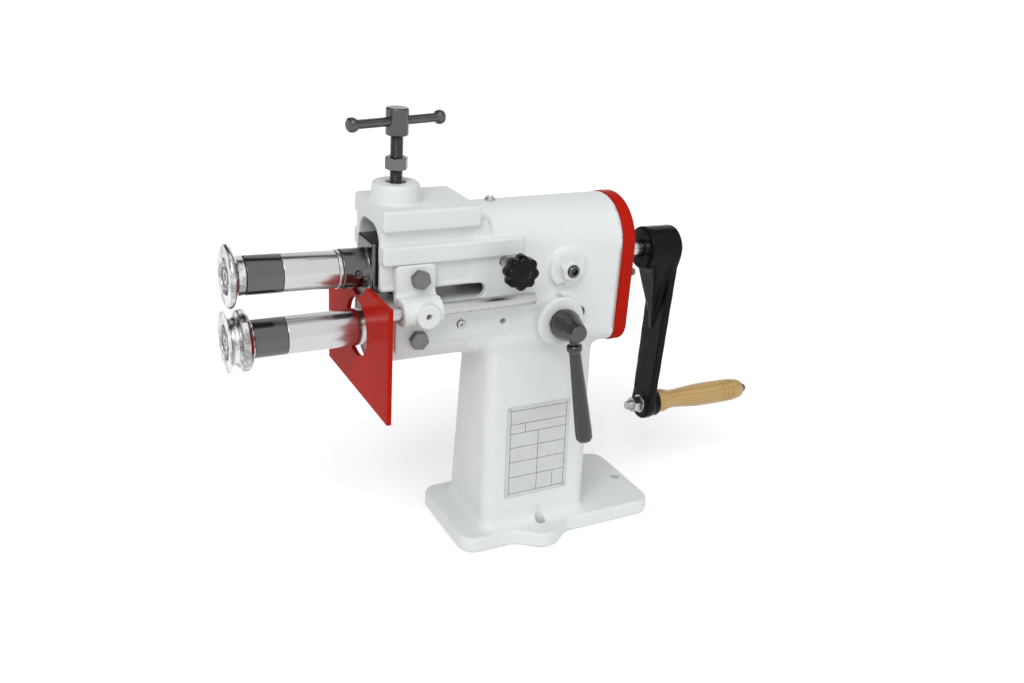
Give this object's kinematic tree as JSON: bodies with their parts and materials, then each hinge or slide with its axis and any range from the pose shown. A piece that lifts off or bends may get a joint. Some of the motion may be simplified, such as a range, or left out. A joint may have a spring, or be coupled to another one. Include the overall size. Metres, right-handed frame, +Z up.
{
  "type": "bead roller",
  "caption": "Hand cranked bench bead roller: two geared spindles with forming rollers, a pressure screw over a rocking carrier, a sliding sheet fence and a shift lever.",
  "frame": {"origin": "centre of the base plate's bottom face, in the vertical plane of both spindles", "axes": "+X along the spindles from the rollers to the crank, +Z up, -Y towards the side with the shift lever, clamp knob and fence rod"},
  "size_m": [0.7172, 0.2106, 0.522],
  "materials": {
    "casting_paint": "satin",
    "red_paint": "gloss",
    "black_paint": "gloss",
    "blackened_steel": "satin",
    "ground_steel": "satin",
    "polished_steel": "polished",
    "zinc_steel": "satin",
    "gear_iron": "machined",
    "bronze": "machined",
    "knob_plastic": "gloss",
    "beech": "varnished",
    "plate_metal": "satin",
    "spring_steel": "satin"
  },
  "bodies": {
    "root": {"body_casting": "casting_paint", "gear_cover": "red_paint", "cover_screws": "blackened_steel", "guide_bracket": "casting_paint", "bracket_bolts": "blackened_steel", "pivot_screws": "blackened_steel", "pivot_nuts": "casting_paint", "top_oiler": "zinc_steel", "pad_set_screw": "zinc_steel", "lever_boss_set_screw": "blackened_steel", "rating_plate": "plate_metal", "plate_rivets": "zinc_steel", "lower_front_bush": "bronze", "lower_rear_bush": "bronze", "lever_bush": "bronze", "return_spring": "spring_steel"},
    "rocker": {"upper_carrier": "blackened_steel", "carrier_set_screw": "blackened_steel", "upper_front_bush": "bronze", "upper_rear_bush": "bronze", "thrust_button": "blackened_steel"},
    "upper_spindle": {"upper_roller": "polished_steel", "upper_roller_screw": "zinc_steel", "upper_shaft": "ground_steel", "upper_black_sleeve": "blackened_steel", "upper_spacer_tube": "ground_steel", "upper_end_ring": "ground_steel", "upper_shaft_keys": "blackened_steel", "upper_gear": "gear_iron", "crank_arm": "black_paint", "handle_bolt": "ground_steel", "handle_washer": "zinc_steel", "handle_nut": "zinc_steel"},
    "grip": {"wooden_grip": "beech", "grip_end_cap": "zinc_steel"},
    "shift_ring": {"shift_ring": "blackened_steel"},
    "lower_spindle": {"lower_roller": "polished_steel", "lower_roller_screw": "zinc_steel", "lower_shaft": "ground_steel", "lower_black_sleeve": "blackened_steel", "lower_spacer_tube": "ground_steel", "lower_shaft_keys": "blackened_steel", "lower_shaft_nut": "blackened_steel", "lower_gear": "gear_iron"},
    "shift_lever": {"eccentric_shaft": "blackened_steel", "lever_hub": "blackened_steel", "lever_rod": "black_paint"},
    "screw_foot": {"thrust_foot": "blackened_steel"},
    "pressure_screw": {"adjusting_screw": "blackened_steel", "screw_head": "blackened_steel"},
    "t_bar": {"t_bar": "blackened_steel"},
    "lock_nut": {"lock_nut": "blackened_steel"},
    "fence": {"fence_plate": "red_paint", "guide_rod": "ground_steel"},
    "knob_stud": {"knob_stud": "ground_steel"},
    "star_knob": {"star_knob": "knob_plastic"}
  },
  "joints": [
    {"name": "rocker_tilt", "type": "hinge", "parent": "root", "child": "rocker", "pos_m": [-0.015, 0, 0.347], "axis": [0, -1, 0], "range_deg": [-0.15, 1.06]},
    {"name": "upper_spin", "type": "hinge", "parent": "rocker", "child": "upper_spindle", "pos_m": [-0.015, 0, 0.347], "axis": [0.9997, 0, -0.0253], "continuous": true},
    {"name": "grip_spin", "type": "hinge", "parent": "upper_spindle", "child": "grip", "pos_m": [-0.02052, 0, 0.12907], "axis": [0.9997, 0, -0.0253], "continuous": true},
    {"name": "shaft_shift", "type": "slide", "parent": "root", "child": "shift_ring", "axis": [1, 0, 0], "range_m": [-0.0018, 0.0018]},
    {"name": "lower_spin", "type": "hinge", "parent": "shift_ring", "child": "lower_spindle", "pos_m": [0, 0, 0.285], "axis": [1, 0, 0], "continuous": true},
    {"name": "lever_turn", "type": "hinge", "parent": "root", "child": "shift_lever", "pos_m": [-0.022, 0, 0.285], "axis": [0, 1, 0], "range_deg": [-35, 35]},
    {"name": "screw_feed", "type": "slide", "parent": "root", "child": "screw_foot", "axis": [0, 0, -1], "range_m": [-0.0005, 0.0035], "deforming": ["return_spring"]},
    {"name": "screw_turn", "type": "hinge", "parent": "screw_foot", "child": "pressure_screw", "pos_m": [-0.205, 0, 0.45], "axis": [0, 0, -1], "range_deg": [-90.1, 630.1]},
    {"name": "t_bar_slide", "type": "slide", "parent": "pressure_screw", "child": "t_bar", "axis": [0.9632, 0.2689, 0], "range_m": [-0.036, 0.036]},
    {"name": "lock_nut_run", "type": "slide", "parent": "pressure_screw", "child": "lock_nut", "axis": [0, 0, -1], "range_m": [-0.01, 0.008]},
    {"name": "fence_slide", "type": "slide", "parent": "root", "child": "fence", "axis": [-1, 0, 0], "range_m": [-0.002, 0.095]},
    {"name": "knob_feed", "type": "slide", "parent": "root", "child": "knob_stud", "axis": [0, 1, 0], "range_m": [-0.0015, 0.00083]},
    {"name": "knob_turn", "type": "hinge", "parent": "knob_stud", "child": "star_knob", "pos_m": [-0.091, -0.07, 0.3585], "axis": [0, 1, 0], "range_deg": [-360.5, 200]}
  ],
  "couplings": [
    {"joint": "screw_turn", "follows": "screw_feed", "rad_per_m": 3141.6},
    {"joint": "rocker_tilt", "follows": "screw_feed", "rad_per_m": 5.2631},
    {"joint": "lower_spin", "follows": "upper_spin", "ratio": -1},
    {"joint": "shaft_shift", "follows": "lever_turn", "m_per_rad": 0.00276},
    {"joint": "knob_turn", "follows": "knob_feed", "rad_per_m": 4188.8}
  ]
}
